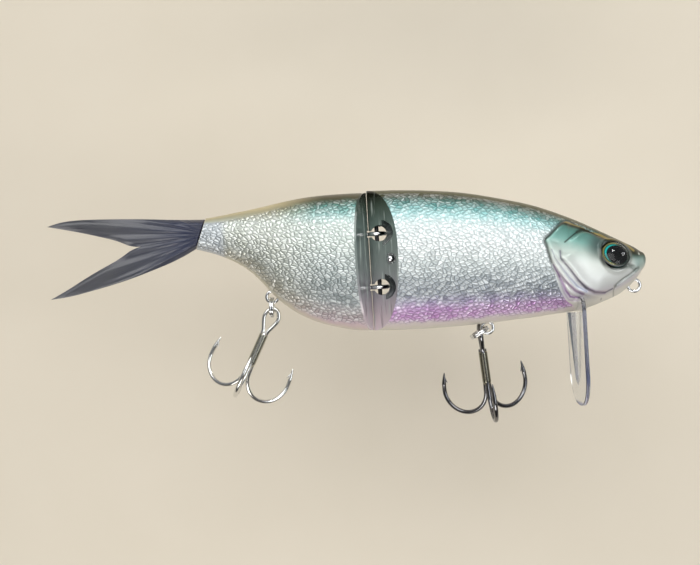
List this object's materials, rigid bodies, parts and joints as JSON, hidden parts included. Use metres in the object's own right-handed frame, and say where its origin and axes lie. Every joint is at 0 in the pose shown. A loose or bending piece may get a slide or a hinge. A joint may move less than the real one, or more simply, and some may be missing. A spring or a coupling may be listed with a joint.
{
  "type": "swimbait",
  "caption": "Hinged hard-bodied swimbait with a clear bill, soft forked tail, treble hooks on split rings and a line tie under the chin.",
  "frame": {"origin": "centre of the line tie ring under the chin, on the plane of symmetry of the body", "axes": "+X towards the nose along the body, +Z towards the back of the fish, +Y towards its left side"},
  "size_m": [0.1701, 0.0282, 0.0679],
  "materials": {
    "shell": "moulded scale pattern under gloss clear coat",
    "clear_plastic": "clear polycarbonate",
    "soft_tail": "soft translucent smoke",
    "bright_wire": "bright stainless",
    "dark_steel": "plain",
    "eye_foil": "teal foil with a black pupil",
    "clear_dome": "clear",
    "dark_nickel": "black nickel",
    "nickel": "nickel",
    "lead": "cast"
  },
  "bodies": {
    "front": {"front_shell_right": "shell", "front_shell_left": "shell", "bill": "clear_plastic", "line_tie": "bright_wire", "front_hook_hanger": "bright_wire", "hinge_pin": "dark_steel", "joint_ball_right": "bright_wire", "joint_ball_left": "bright_wire", "eye_disc_right": "eye_foil", "eye_disc_left": "eye_foil", "eye_dome_right": "clear_dome", "eye_dome_left": "clear_dome", "front_ballast": "lead"},
    "rear": {"rear_shell_right": "shell", "rear_shell_left": "shell", "rear_hook_hanger": "bright_wire", "upper_joint_eye": "bright_wire", "lower_joint_eye": "bright_wire", "rear_ballast": "lead"},
    "tail": {"tail": "soft_tail"},
    "front_ring": {"front_split_ring": "bright_wire"},
    "front_hook": {"front_treble": "dark_nickel"},
    "rear_ring": {"rear_split_ring": "bright_wire"},
    "rear_hook": {"rear_treble": "nickel"}
  },
  "joints": [
    {"name": "body_joint", "type": "hinge", "parent": "front", "child": "rear", "pos_m": [-0.0724, 0, 0.0114], "axis": [0, 0, 1], "range_deg": [-40, 40]},
    {"name": "tail_flex", "type": "hinge", "parent": "rear", "child": "tail", "pos_m": [-0.11902, 0, 0.02061], "axis": [0.3452, 0, 0.9385], "range_deg": [-20, 20], "stiffness_Nm_per_rad": 0.006},
    {"name": "front_ring_swing", "type": "hinge", "parent": "front", "child": "front_ring", "pos_m": [-0.04245, 0, -0.00957], "axis": [0, 1, 0], "range_deg": [-38, 1]},
    {"name": "front_hook_swing", "type": "hinge", "parent": "front_ring", "child": "front_hook", "pos_m": [-0.04478, 0.00265, -0.01084], "axis": [0.8779, 0, 0.4789], "range_deg": [-20, 12]},
    {"name": "rear_ring_swing", "type": "hinge", "parent": "rear", "child": "rear_ring", "pos_m": [-0.1032, 0, 0.0028], "axis": [0, 1, 0], "range_deg": [-30, 30]},
    {"name": "rear_hook_swing", "type": "hinge", "parent": "rear_ring", "child": "rear_hook", "pos_m": [-0.1037, 0, -0.0028], "axis": [0, 1, 0], "range_deg": [-40, 30]}
  ]
}
